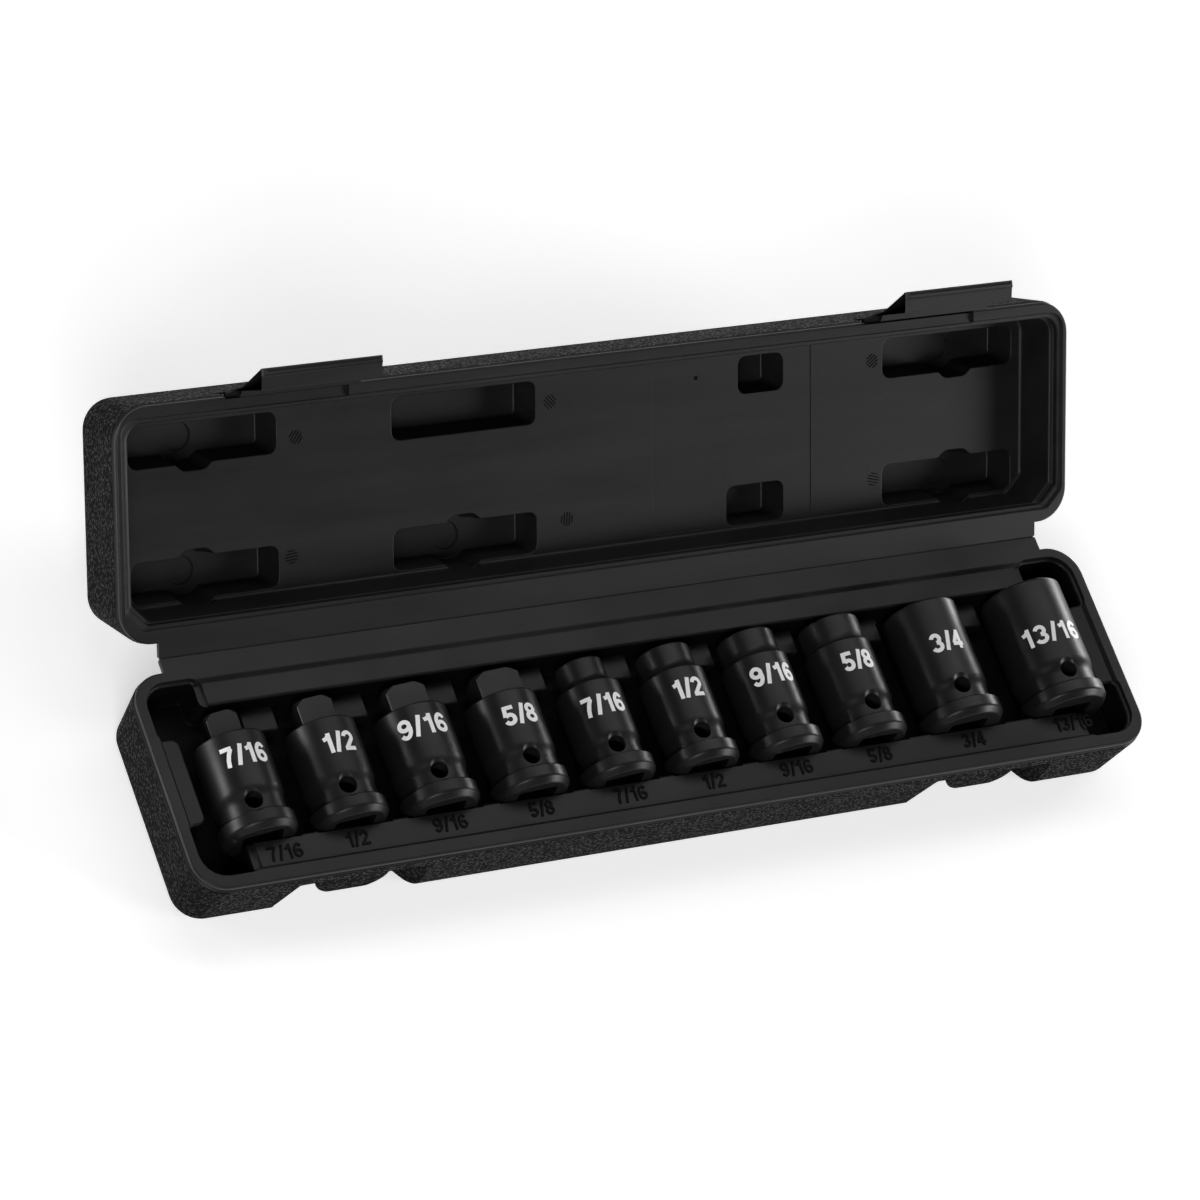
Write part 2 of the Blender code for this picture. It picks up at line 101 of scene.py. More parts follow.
# Inside of the lid, as it lies when shut: depths are from its rim
LID_DEPTH = 18.0
LID_POCKET = 13.0
LID_IN_X = 188.3
LID_IN_FRONT = -34.8
LID_IN_BACK = 34.2
LID_BEVEL = 6.5         # cut-off rear corners
PANEL_X = (26.0, 92.6)  # ends of the sunk panel
PIT = (44.4, -24.2, 0.8)    # x, y and radius of the small round pit
POCKET_R = 3.2
BULGE_FOOT = 7.0        # half widths of a pocket's bulge at its foot and top, and its height
BULGE_TOP = 4.2
BULGE_OUT = 2.5
# pockets: x0, x1, y0, y1, and bulges (x, side) with side -1 front or 1 back
POCKETS = [
    (-179.2, -123.2, -30.0, -15.6, [(-154.6, 1)]),
    (-179.2, -123.2, 16.8, 31.4, [(-154.6, 1), (-154.6, -1)]),
    (-78.4, -21.4, -30.0, -14.8, []),
    (-78.4, -21.4, 16.8, 31.4, [(-51.0, 1), (-51.0, -1)]),
    (62.0, 81.0, -30.0, -16.2, []),
    (57.0, 81.0, 16.8, 31.4, []),
    (123.4, 179.4, -30.0, -15.8, [(154.6, 1)]),
    (123.4, 179.4, 16.4, 31.4, [(154.6, 1), (154.6, -1)]),
]
# hatched mould stamps in the lid floor (x, y)
STAMPS = [(-115.7, -20.3), (-118.2, 21.4), (-15.5, -21.9), (-9.1, 20.8), (118.9, -22.7), (119.4, 21.0)]
STAMP_R = 2.5
STAMP_PITCH = 1.05

# Latches, their notches in the lid and their recesses in the base
LATCH_X = 127.5
LATCH_W = 45.4
LATCH_ROOT_N = -6.2     # the swing's axis, down from the lid's rim and out from its wall
LATCH_ROOT_V = -2.2
LATCH_BEAD = 1.5
LATCH_HEAD = 4.0        # from the axis to the blank's two ends
LATCH_FOOT = -35.6
# one latch's cross-section: out from its axis and down from it, less the two LATCH_ROOT values
LATCH_TRAIL = [
    (-3.4, -4.6), (0.45, 0.3), (0.45, 7.9), (-1.6, 8.2), (-1.6, 9.6), (0.45, 11.6),
    (0.45, 26.0), (0.9, 26.4), (4.7, 27.3), (5.2, 27.6), (5.6, 28.6), (6.4, 29.3),
    (7.3, 29.2), (7.8, 28.4), (7.7, 27.3), (7.3, 26.6), (1.8, 12.5), (-0.9, -3.4),
]
NOTCH_PLAY = 0.6
NOTCH_DEEP = 5.0
NOTCH_STEP = 1.3
NOTCH_TALL = 8.8
CATCH_BAND = 7.5
NICHE_FOOT = 31.0       # half widths of a latch recess, NICHE_FRONT in front of the wall
NICHE_HEAD = 26.8
NICHE_FRONT = 2.0
NICHE_DEEP = 11.0
NICHE_SLANT = 0.76
LUG_X = 13.0
LUG_ROUND = 8.0
LUG_FOOT = 5.0
LUG_BACK = 3.7

# Sockets
AXIS_Z = BASE_H - 4.0
DRIVE_Y = -24.5
DRIVE_SIDE = 13.0
DRIVE_DEEP = 16.0
PIN_R = 3.1
WELL_GAP = 0.6
BORE_DEEP = 13.0
THROUGH_R = 4.2
STUB_ROOT = 4.4         # how far a male square reaches back into its body
TURN_STEPS = 96
INK = 0.03              # how far the printed sizes stand proud
# name: x, body diameter, flange diameter, shoulder y, end y, nose diameter, square side, pin hole y,
# roll, printed size, its centre y, its roll, its width
SOCKETS = {
    "plug_socket_7_16": (-162.5, 25.6, 27.2, 12.4, 23.2, None, 11.1, -13.4, -16.0, "7/16", 3.1, -6.7, 17.6),
    "plug_socket_1_2": (-128.0, 25.4, 27.2, 12.4, 23.2, None, 12.7, -13.3, -11.5, "1/2", 2.3, -2.1, 12.6),
    "plug_socket_9_16": (-93.3, 26.6, 28.0, 12.4, 22.9, None, 14.3, -13.4, -11.0, "9/16", 3.7, -11.2, 18.6),
    "plug_socket_5_8": (-58.0, 26.2, 27.8, 12.4, 22.8, None, 15.9, -13.2, -7.5, "5/8", 2.4, -2.4, 13.2),
    "cup_socket_7_16": (-23.0, 23.8, 26.8, 11.8, 22.2, 17.6, 11.3, -13.2, -11.5, "7/16", 2.1, -10.2, 17.0),
    "cup_socket_1_2": (11.0, 24.4, 26.8, 11.8, 22.2, 20.2, 12.9, -13.2, -9.5, "1/2", 3.1, -7.3, 12.2),
    "cup_socket_9_16": (45.5, 24.8, 27.2, 12.6, 23.2, 21.2, 14.5, -12.3, -10.5, "9/16", 3.8, -4.4, 17.4),
    "cup_socket_5_8": (80.5, 25.2, 27.4, 12.8, 23.4, 22.8, 16.1, -12.6, -4.0, "5/8", 3.9, -3.3, 12.4),
    "cup_socket_3_4": (119.5, 27.8, 31.0, 23.4, 23.4, 27.8, 19.3, -11.9, -9.5, "3/4", 5.5, -6.6, 13.4),
    "cup_socket_13_16": (164.0, 30.8, 32.0, 24.4, 24.4, 30.8, 20.9, -12.9, -7.5, "13/16", 2.3, -10.0, 24.4),
}
PRINT_H = 7.4
# raised sizes on the label bar: text and its centre (x, y)
LABELS = [
    ("7/16", -156.8, -30.2), ("1/2", -129.0, -29.6), ("9/16", -93.4, -29.4), ("5/8", -57.8, -29.4),
    ("7/16", -22.6, -29.4), ("1/2", 11.3, -29.4), ("9/16", 45.2, -29.4), ("5/8", 80.1, -29.4),
    ("3/4", 120.1, -29.4), ("13/16", 163.0, -29.0),
]
LABEL_H = 5.4

# Studio, in metres and watts
LAMPS = [   # name, place, aim, width, height, power
    ("overhead", (0.3, 0.75, 1.6), (0.1, 0.0, 0.05), 2.4, 0.7, 10.0),
    ("front_fill", (-1.3, -1.5, 1.6), (0.0, 0.0, 0.05), 1.0, 1.0, 23.0),
    ("right_front", (3.8, -2.4, 1.2), (0.0, 0.05, 0.08), 1.8, 1.8, 84.0),
    ("left_low", (-1.8, 0.75, 0.25), (-0.15, 0.0, 0.03), 0.9, 0.5, 15.0),
    ("right_low", (1.85, 0.75, 0.2), (0.15, 0.0, 0.03), 0.8, 0.4, 15.0),
]
FLOOR_GLOW = 0.54
FLOOR_DROP = 0.3        # millimetres under the case
SKY_LOW = 1.0           # brightness at the horizon, and above SKY_TOP of the way up
SKY_HIGH = 0.22
SKY_TOP = 0.6
CAMERA_PLACE = (-0.99199, -0.70258, 1.61544)
CAMERA_TURN = (52.812, 52.046, 38.121)      # azimuth, elevation and roll in degrees
CAMERA_LENS = 171.83
CAMERA_SENSOR = 36.0


# ---------------------------------------------------------------- placing
def move(x, y, z):
    """Shift by millimetres, for finished meshes, which are in metres."""
    return Matrix.Translation((x * MM, y * MM, z * MM))


def rotate(degrees, axis):
    """Turn about an axis through the origin."""
    return Matrix.Rotation(math.radians(degrees), 4, axis)


SWING = move(0.0, HINGE_Y, HINGE_Z) @ rotate(-LID_OPEN, "X")
TO_AXIS = move(0.0, -HINGE_Y, CLOSE_GAP / 2.0)
OPEN_LID = SWING @ TO_AXIS      # from the shut lid, rim at z = 0, to the rest pose


# ---------------------------------------------------------------- mesh helpers
def ring(corners, offset=0.0, segs=5):
    """Closed outline through corners (x, y, radius), anticlockwise, moved outwards by offset."""
    count = len(corners)
    points = []
    for i in range(count):
        before = Vector(corners[i - 1][:2])
        here = Vector(corners[i][:2])
        after = Vector(corners[(i + 1) % count][:2])
        come = (here - before).normalized()
        go = (after - here).normalized()
        turn = come.x * go.y - come.y * go.x
        side = 1.0 if turn > 0.0 else -1.0
        out_a = Vector((come.y, -come.x))
        out_b = Vector((go.y, -go.x))
        bisect = (out_a + out_b) / (1.0 + out_a.dot(out_b))
        vertex = here + bisect * offset
        radius = max(corners[i][2] + side * offset, 0.05)
        centre = vertex - bisect * radius * side
        start = math.atan2(side * out_a.y, side * out_a.x)
        sweep = math.atan2(turn, come.dot(go))
        for k in range(segs + 1):
            angle = start + sweep * k / segs
            points.append((centre.x + radius * math.cos(angle), centre.y + radius * math.sin(angle)))
    return points


def rect(x0, x1, y0, y1, radius):
    """Corners of a rectangle, anticlockwise."""
    return [(x0, y0, radius), (x1, y0, radius), (x1, y1, radius), (x0, y1, radius)]


def quarter(steps):
    """1 - cosine and 1 - sine at even steps through a quarter turn."""
    angles = [math.radians(90.0 * k / steps) for k in range(steps + 1)]
    return [(1.0 - math.cos(angle), 1.0 - math.sin(angle)) for angle in angles]


def stack(rings, slots=None):
    """Skin a pile of equal outlines, given as (points, z), cap both ends, and set each band's slot."""
    bm = bmesh.new()
    layers = []
    for points, z in rings:
        layers.append([bm.verts.new((x, y, z)) for x, y in points])
    count = len(layers[0])
    slots = slots or [0] * (len(layers) - 1)
    for low, high, slot in zip(layers, layers[1:], slots):
        for i in range(count):
            j = (i + 1) % count
            bm.faces.new((low[i], low[j], high[j], high[i])).material_index = slot
    bm.faces.new(list(reversed(layers[0]))).material_index = slots[0]
    bm.faces.new(layers[-1]).material_index = slots[-1]
    return bm


def prism(bm, near, far):
    """Add the solid between two equal outlines of 3-D points."""
    ends = [[bm.verts.new(point) for point in outline] for outline in (near, far)]
    for i in range(len(near)):
        j = (i + 1) % len(near)
        bm.faces.new((ends[0][i], ends[0][j], ends[1][j], ends[1][i]))
    for end in ends:
        bm.faces.new(end)
    return bm


def pocket_rings(corners, floor, top, foot, lip, lean=0.5, segs=6):
    """Outlines of a pocket cut from top down to floor, with a rounded foot, leaning wall and rounded lip."""
    sign = 1.0 if top > floor else -1.0
    rings = [(-lean - foot * shrink, floor + sign * foot * rise) for rise, shrink in quarter(5)]
    rings += [(lip * rise, top - sign * lip * shrink) for rise, shrink in quarter(5)]
    rings.append((lip, top + sign * 3.0))
    return [(ring(corners, offset, segs), z) for offset, z in rings]


def boss_rings(corners, low, top, edge, segs=4):
    """Outlines of a raised block with a rounded top edge."""
    rings = [(0.0, low)]
    rings += [(-edge * rise, top - edge * shrink) for rise, shrink in quarter(4)]
    return [(ring(corners, offset, segs), z) for offset, z in rings]


def block(low, high):
    """A box between two corners."""
    size = [h - l for l, h in zip(low, high)]
    middle = [(h + l) / 2.0 for l, h in zip(low, high)]
    bm = bmesh.new()
    bmesh.ops.create_cube(bm, size=1.0, matrix=Matrix.Translation(middle) @ Matrix.Diagonal((*size, 1.0)))
    return bm


def round_bar(bm, place, foot, top, depth, segments):
    """Add a capped cone or cylinder, centred on its place, with its two radii."""
    bmesh.ops.create_cone(bm, cap_ends=True, segments=segments, radius1=foot, radius2=top, depth=depth,
                          matrix=place)
    return bm


def make(name, bm, slot=None):
    """Turn a bmesh in millimetres into an object in metres; slot sets the material slot of every face."""
    bmesh.ops.scale(bm, vec=Vector((MM, MM, MM)), verts=bm.verts)
    bmesh.ops.recalc_face_normals(bm, faces=bm.faces)
    if slot is not None:
        for face in bm.faces:
            face.material_index = slot
    mesh = bpy.data.meshes.new(name)
    bm.to_mesh(mesh)
    bm.free()
    obj = bpy.data.objects.new(name, mesh)
    bpy.context.scene.collection.objects.link(obj)
    return obj


def combine(target, tools):
    """Apply (operation, tool object) pairs to the target in order, and remove the tools."""
    for operation, cutter in tools:
        for material in target.data.materials:
            if len(cutter.data.materials) < len(target.data.materials):
                cutter.data.materials.append(material)
        mod = target.modifiers.new(cutter.name, "BOOLEAN")
        mod.operation = operation
        mod.solver = "EXACT"
        mod.object = cutter
    graph = bpy.context.evaluated_depsgraph_get()
    mesh = bpy.data.meshes.new_from_object(target.evaluated_get(graph))
    target.modifiers.clear()
    target.data = mesh
    for _, cutter in tools:
        bpy.data.objects.remove(cutter, do_unlink=True)
    return target


def paint(obj, *materials):
    """Give an object its material slots, in place of any that a Boolean left it."""
    if len(obj.data.materials) > 0:
        obj.data.materials.clear()      # this also sends every face back to slot 0
    for material in materials:
        obj.data.materials.append(material)
    return obj


def smooth(obj, angle):
    """Smooth shading with edges sharper than the angle kept sharp."""
    obj.data.shade_smooth()
    obj.data.set_sharp_from_angle(angle=math.radians(angle))
    return obj


def flatten(obj):
    """Keep flat faces flat under smooth shading."""
    obj.modifiers.new("flat_normals", "WEIGHTED_NORMAL").keep_sharp = True
    return obj


def shade(obj, angle=32.0):
    """Merge what the Booleans left too close together, then shade."""
    bm = bmesh.new()
    bm.from_mesh(obj.data)
    bmesh.ops.remove_doubles(bm, verts=bm.verts, dist=0.002 * MM)
    bmesh.ops.dissolve_degenerate(bm, edges=bm.edges, dist=0.001 * MM)
    bm.to_mesh(obj.data)
    bm.free()
    return flatten(smooth(obj, angle))


def bevel(obj, width, segments=2, angle=30.0):
    """Round the edges sharper than the angle."""
    mod = obj.modifiers.new("edges", "BEVEL")
    mod.width = width * MM
    mod.segments = segments
    mod.limit_method = "ANGLE"
    mod.angle_limit = math.radians(angle)
    mod.miter_outer = "MITER_ARC"
    return obj


def finish_piece(obj, body, slot, *replaced):
    """Hang a finished piece on its body and hide the frame nodes it stands for."""
    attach(obj, body)
    if replaced:
        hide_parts(*replaced)
    return obj


# ---------------------------------------------------------------- materials
def shader(name, colour, roughness, metallic=0.0):
    """A Principled material and handles to its nodes."""
    mat = bpy.data.materials.new(name)
    mat.use_nodes = True
    mat.diffuse_color = (*colour, 1.0)
    bsdf = mat.node_tree.nodes["Principled BSDF"]
    bsdf.inputs["Base Color"].default_value = (*colour, 1.0)
    bsdf.inputs["Roughness"].default_value = roughness
    bsdf.inputs["Metallic"].default_value = metallic
    return mat, mat.node_tree, bsdf


def add(tree, kind, **values):
    """A new node with its input values set by socket name."""
    node = tree.nodes.new(kind)
    for key, value in values.items():
        node.inputs[key.replace("_", " ")].default_value = value
    return node


def noise(tree, coords, scale, detail=3.0, rough=0.5):
    """Noise texture over the object's own coordinates, in cells per metre."""
    node = add(tree, "ShaderNodeTexNoise", Scale=scale, Detail=detail, Roughness=rough)
    tree.links.new(coords, node.inputs["Vector"])
    return node.outputs["Fac"]


def remap(tree, value, low, high, to_low, to_high):
    """Stretch a value from one range to another, clamped."""
    node = add(tree, "ShaderNodeMapRange", From_Min=low, From_Max=high, To_Min=to_low, To_Max=to_high)
    tree.links.new(value, node.inputs["Value"])
    return node.outputs["Result"]


def arithmetic(tree, operation, *values):
    """A Math node fed by other nodes' outputs or by plain numbers."""
    node = tree.nodes.new("ShaderNodeMath")
    node.operation = operation
    for entry, value in zip(node.inputs, values):
        if isinstance(value, float):
            entry.default_value = value
        else:
            tree.links.new(value, entry)
    return node.outputs["Value"]


def mix_colour(tree, factor, dark, light):
    """Blend two colours by a factor."""
    node = tree.nodes.new("ShaderNodeMix")
    node.data_type = "RGBA"
    node.inputs["A"].default_value = (*dark, 1.0)
    node.inputs["B"].default_value = (*light, 1.0)
    tree.links.new(factor, node.inputs["Factor"])
    return node.outputs["Result"]


def bump(tree, height, depth, strength, below=None):
    """Bump of a depth in millimetres, over an earlier bump if given."""
    node = add(tree, "ShaderNodeBump", Strength=strength, Distance=depth * MM)
    tree.links.new(height, node.inputs["Height"])
    if below is not None:
        tree.links.new(below, node.inputs["Normal"])
    return node.outputs["Normal"]


def pebbled_plastic():
    """Coarse leather-like grain of the outer walls, with painted shade darkening the grain's crevices."""
    mat, tree, bsdf = shader("pebbled_plastic", (0.014, 0.014, 0.0145), 0.42)
    coords = tree.nodes.new("ShaderNodeTexCoord").outputs["Object"]
    warp = add(tree, "ShaderNodeTexNoise", Scale=820.0, Detail=2.0)
    tree.links.new(coords, warp.inputs["Vector"])
    shift = tree.nodes.new("ShaderNodeVectorMath")
    shift.operation = "MULTIPLY_ADD"
    tree.links.new(warp.outputs["Color"], shift.inputs[0])
    shift.inputs[1].default_value = (0.0009, 0.0009, 0.0009)
    tree.links.new(coords, shift.inputs[2])
    cells = tree.nodes.new("ShaderNodeTexVoronoi")
    cells.feature = "SMOOTH_F1"
    cells.inputs["Scale"].default_value = 860.0
    cells.inputs["Smoothness"].default_value = 0.25
    tree.links.new(shift.outputs["Vector"], cells.inputs["Vector"])
    grain = remap(tree, cells.outputs["Distance"], 0.12, 0.60, 1.0, 0.0)
    fine = noise(tree, coords, 3600.0, 3.0, 0.6)
    low = bump(tree, grain, 0.32, 1.0)
    tree.links.new(bump(tree, fine, 0.05, 0.5, low), bsdf.inputs["Normal"])
    bsdf.inputs["Specular IOR Level"].default_value = 0.07
    # the grain's crevices painted darker than its tops: painted shade
    colour = mix_colour(tree, grain, (0.003, 0.003, 0.0031), (0.0085, 0.0085, 0.0087))
    tree.links.new(colour, bsdf.inputs["Base Color"])
    broad = noise(tree, coords, 28.0, 4.0)
    rough = arithmetic(tree, "MULTIPLY_ADD", broad, 0.12, remap(tree, grain, 0.0, 0.9, 0.85, 0.27))
    tree.links.new(rough, bsdf.inputs["Roughness"])
    return mat


def satin_plastic(name, colour, rough_low, rough_high, grain_depth=0.035, gloss=0.27):
    """Smooth plastic or dull coating: fine orange-peel grain of a depth in mm, flow marks, faint rubs."""
    mat, tree, bsdf = shader(name, colour, (rough_low + rough_high) / 2.0)
    bsdf.inputs["Specular IOR Level"].default_value = gloss
    coords = tree.nodes.new("ShaderNodeTexCoord").outputs["Object"]
    fine = noise(tree, coords, 2600.0, 3.0, 0.6)
    peel = noise(tree, coords, 520.0, 2.0)
    stretch = add(tree, "ShaderNodeMapping", Scale=(0.12, 1.0, 1.0))
    tree.links.new(coords, stretch.inputs["Vector"])
    flow = noise(tree, stretch.outputs["Vector"], 90.0, 5.0, 0.65)
    broad = noise(tree, coords, 24.0, 4.0, 0.55)
    low = bump(tree, peel, grain_depth * 1.6, 0.35)
    tree.links.new(bump(tree, fine, grain_depth, 0.5, low), bsdf.inputs["Normal"])
    both = arithmetic(tree, "MULTIPLY_ADD", flow, 0.45, broad)
    tree.links.new(remap(tree, both, 0.45, 1.0, rough_low, rough_high), bsdf.inputs["Roughness"])
    light = tuple(channel * 1.35 for channel in colour)
    dark = tuple(channel * 0.8 for channel in colour)
    shades = mix_colour(tree, remap(tree, flow, 0.3, 0.7, 0.0, 1.0), dark, light)
    tree.links.new(shades, bsdf.inputs["Base Color"])
    return mat


def phosphate_steel():
    """Black phosphate coat on forged steel: fine dry grain, and proud edges a little brighter, partly slight
    wear and partly painted highlight.
    """
    mat, tree, bsdf = shader("black_phosphate_steel", (0.012, 0.012, 0.0123), 0.36, 0.05)
    bsdf.inputs["Specular IOR Level"].default_value = 0.27
    coords = tree.nodes.new("ShaderNodeTexCoord").outputs["Object"]
    grain = noise(tree, coords, 5200.0, 3.0, 0.65)
    mottle = noise(tree, coords, 240.0, 4.0, 0.6)
    cloud = noise(tree, coords, 45.0, 3.0)
    edges = tree.nodes.new("ShaderNodeNewGeometry").outputs["Pointiness"]
    # proud edges lighter: partly slight wear, partly painted highlight
    edge_wear_and_sheen = remap(tree, edges, 0.52, 0.62, 0.0, 1.0)
    patchy_wear_and_sheen = arithmetic(tree, "MULTIPLY", edge_wear_and_sheen, remap(tree, mottle, 0.42, 0.62, 0.15, 1.0))
    low = bump(tree, mottle, 0.03, 0.3)
    tree.links.new(bump(tree, grain, 0.018, 0.55, low), bsdf.inputs["Normal"])
    tree.links.new(remap(tree, cloud, 0.3, 0.7, 0.30, 0.42), bsdf.inputs["Roughness"])
    colour = mix_colour(tree, patchy_wear_and_sheen, (0.0125, 0.0125, 0.0128), (0.045, 0.045, 0.045))
    tree.links.new(colour, bsdf.inputs["Base Color"])
    return mat


def white_ink():
    """Pad-printed white ink, slightly uneven."""
    mat, tree, bsdf = shader("white_ink", (0.83, 0.83, 0.83), 0.5)
    coords = tree.nodes.new("ShaderNodeTexCoord").outputs["Object"]
    speckle = noise(tree, coords, 3800.0, 3.0, 0.7)
    cover = remap(tree, speckle, 0.25, 0.45, 0.0, 1.0)
    tree.links.new(mix_colour(tree, cover, (0.86, 0.86, 0.86), (0.97, 0.97, 0.97)), bsdf.inputs["Base Color"])
    tree.links.new(bump(tree, speckle, 0.012, 0.4), bsdf.inputs["Normal"])
    return mat


# The well, label and bore materials are the same stuffs as their surroundings, darker as the photo shows
# them; in the deep wells, the cradles and inside the sockets' holes that darkening is painted shade.
PEBBLE = pebbled_plastic()
SATIN = satin_plastic("satin_plastic", (0.0135, 0.0135, 0.0138), 0.36, 0.50)
LATCH = satin_plastic("latch_plastic", (0.0135, 0.0135, 0.0138), 0.34, 0.48, 0.028)
# painted shade in the tray's deep walls, floor and socket cradles
WELL_SHADE = satin_plastic("well_plastic_painted_shade", (0.0045, 0.0045, 0.0046), 0.50, 0.64, 0.05, 0.07)
LABEL = satin_plastic("label_plastic", (0.004, 0.004, 0.0041), 0.48, 0.60, 0.03, 0.1)
STEEL = phosphate_steel()
# painted shade inside the sockets' square holes and through bores
BORE_SHADE = satin_plastic("bore_steel_painted_shade", (0.0035, 0.0035, 0.0036), 0.50, 0.62, 0.02, 0.07)
WHITE = white_ink()


# ---------------------------------------------------------------- lettering
def arc(cx, cy, rx, ry, start, end, steps=14):
    """Points along part of an ellipse, angles in degrees."""
    points = []
    for k in range(steps + 1):
        angle = math.radians(start + (end - start) * k / steps)
        points.append((cx + rx * math.cos(angle), cy + ry * math.sin(angle)))
    return points


# centre lines of each sign on a body one unit tall, and how far the next sign moves on
SIGNS = {
    "1": (0.62, [[(0.40, 0.0), (0.40, 1.0)], [(0.40, 0.88), (0.27, 0.755), (0.11, 0.715)]]),
    "2": (0.76, [arc(0.33, 0.69, 0.215, 0.215, 172, -32) + [(0.13, 0.13)], [(0.035, 0.095), (0.62, 0.095)]]),
    "3": (0.76, [arc(0.32, 0.70, 0.205, 0.205, 165, -88), arc(0.32, 0.30, 0.23, 0.205, 88, -165)]),
    "4": (0.76, [[(0.45, 0.0), (0.45, 1.0)], [(0.45, 0.92), (0.10, 0.31)], [(0.03, 0.27), (0.64, 0.27)]]),
    "5": (0.76, [[(0.60, 0.905), (0.175, 0.905), (0.125, 0.47)], arc(0.32, 0.32, 0.225, 0.225, 142, -160)]),
    "6": (0.76, [arc(0.33, 0.31, 0.225, 0.215, 0, 360, 24), arc(0.345, 0.50, 0.25, 0.405, 38, 202, 18)]),
    "7": (0.76, [[(0.04, 0.905), (0.62, 0.905)], [(0.57, 0.87), (0.43, 0.62), (0.33, 0.34), (0.28, 0.0)]]),
    "8": (0.76, [arc(0.33, 0.71, 0.195, 0.195, 0, 360, 24), arc(0.33, 0.30, 0.23, 0.205, 0, 360, 24)]),
    "9": (0.76, [arc(0.33, 0.69, 0.225, 0.215, 0, 360, 24), arc(0.315, 0.50, 0.25, 0.405, 218, 382, 18)]),
    "/": (0.40, [[(0.04, -0.02), (0.32, 1.02)]]),
}


def stroke(bm, line, thick, low, high):
    """A flat band along a centre line, square at its ends, as a closed solid."""
    points = [Vector(p) for p in line]
    closed = (points[0] - points[-1]).length < 1e-6
    if closed:
        points.pop()
    count = len(points)
    left, right = [], []
    for i, here in enumerate(points):
        before = points[i - 1] if i or closed else None
        after = points[(i + 1) % count] if i < count - 1 or closed else None
        come = (here - before).normalized() if before is not None else (after - here).normalized()
        go = (after - here).normalized() if after is not None else come
        normal_a = Vector((-come.y, come.x))
        normal_b = Vector((-go.y, go.x))
        across = (normal_a + normal_b) / (1.0 + normal_a.dot(normal_b)) * thick / 2.0
        left.append(here + across)
        right.append(here - across)
    levels = []
    for z in (low, high):
        levels.append([[bm.verts.new((p.x, p.y, z)) for p in side] for side in (left, right)])
    spans = count if closed else count - 1
    under, over = levels
    for i in range(spans):
        j = (i + 1) % count
        for level in levels:
            bm.faces.new((level[0][i], level[0][j], level[1][j], level[1][i]))
        for side in (0, 1):
            bm.faces.new((under[side][i], under[side][j], over[side][j], over[side][i]))
    if not closed:
        for i in (0, count - 1):
            bm.faces.new((under[0][i], under[1][i], over[1][i], over[0][i]))


def lettering(name, text, height, width, thick, low, high):
    """Raised signs centred on the origin, reading along X, from z low to high.

    Thick is a share of the height, and width None keeps the signs' proportions.
    """
    lines = []
    pen = 0.0
    for sign in text:
        advance, strokes = SIGNS[sign]
        lines += [[(pen + x, y) for x, y in line] for line in strokes]
        pen += advance
    reach = [x for line in lines for x, y in line]
    left, right = min(reach) - thick / 2.0, max(reach) + thick / 2.0
    scale = 1.0 if width is None else width / height / (right - left)
    middle = (left + right) / 2.0
    solids = []
    for i, line in enumerate(lines):
        bm = bmesh.new()
        path = [((x - middle) * scale * height, (y - 0.5) * height) for x, y in line]
        stroke(bm, path, thick * height, low, high)
        solids.append(make("%s_%d" % (name, i), bm))
    return combine(solids[0], [("UNION", solid) for solid in solids[1:]])


def wrap(obj, radius, step=0.5):
    """Cut a flat piece into narrow strips and roll it round a cylinder whose axis is along Y."""
    bm = bmesh.new()
    bm.from_mesh(obj.data)
    bmesh.ops.scale(bm, vec=Vector((1.0 / MM,) * 3), verts=bm.verts)
    reach = max(abs(v.co.x) for v in bm.verts)
    for k in range(-int(reach / step), int(reach / step) + 1):
        parts = bm.verts[:] + bm.edges[:] + bm.faces[:]
        cut = (k * step + 0.01, 0.0, 0.0)
        bmesh.ops.bisect_plane(bm, geom=parts, plane_co=cut, plane_no=(1.0, 0.0, 0.0))
    for v in bm.verts:
        angle = v.co.x / radius
        out = radius + v.co.z
        v.co = Vector((out * math.sin(angle), v.co.y, out * math.cos(angle)))
    bmesh.ops.scale(bm, vec=Vector((MM,) * 3), verts=bm.verts)
    bm.to_mesh(obj.data)
    bm.free()
    return obj


# ---------------------------------------------------------------- case halves
def half_shell(name, height, sign):
    """Solid outer form of one case half, rim at z = 0: slot 0 pebbled, 1 satin rim, 2 painted shade for the
    deep wells.
    """
    plan = rect(-CASE_L / 2, CASE_L / 2, -CASE_W / 2, CASE_W / 2, CASE_R)
    levels = [(-(DRAFT + EDGE_R * shrink), height - EDGE_R * rise) for rise, shrink in quarter(8)]
    levels += [(-0.06, GROOVE + 0.5), (-0.15, GROOVE + 0.1)]
    pebbled = len(levels) - 1
    levels += [
        (-0.5, GROOVE - 0.25), (-0.95, GROOVE - 0.45), (-0.95, GROOVE - 0.75), (-0.5, GROOVE - 1.1),
        (-0.4, 1.3), (-0.4, 0.8), (-0.52, 0.4), (-0.8, 0.12), (-1.2, 0.0),
    ]
    slots = [0] * pebbled + [1] * (len(levels) - 1 - pebbled)
    rings = [(ring(plan, offset, 12), sign * depth) for offset, depth in levels]
    return paint(make(name, stack(rings, slots)), PEBBLE, SATIN, WELL_SHADE)


def tool(name, rings):
    """A cutter or addition whose faces take the satin finish."""
    return make(name, stack(rings), 1)


def channels(name, wells):
    """Round-bottomed channels (x, radius, y0, y1), open upwards, in the darkened material: painted shade."""
    bm = bmesh.new()
    for x, radius, y0, y1 in wells:
        section = [(radius, 6.0)]
        for k in range(37):
            angle = math.radians(-180.0 * k / 36)
            section.append((radius * math.cos(angle), radius * math.sin(angle)))
        section.append((-radius, 6.0))
        prism(bm, *([(x + u, y, AXIS_Z + v) for u, v in section] for y in (y0, y1)))
    return make(name, bm, 2)


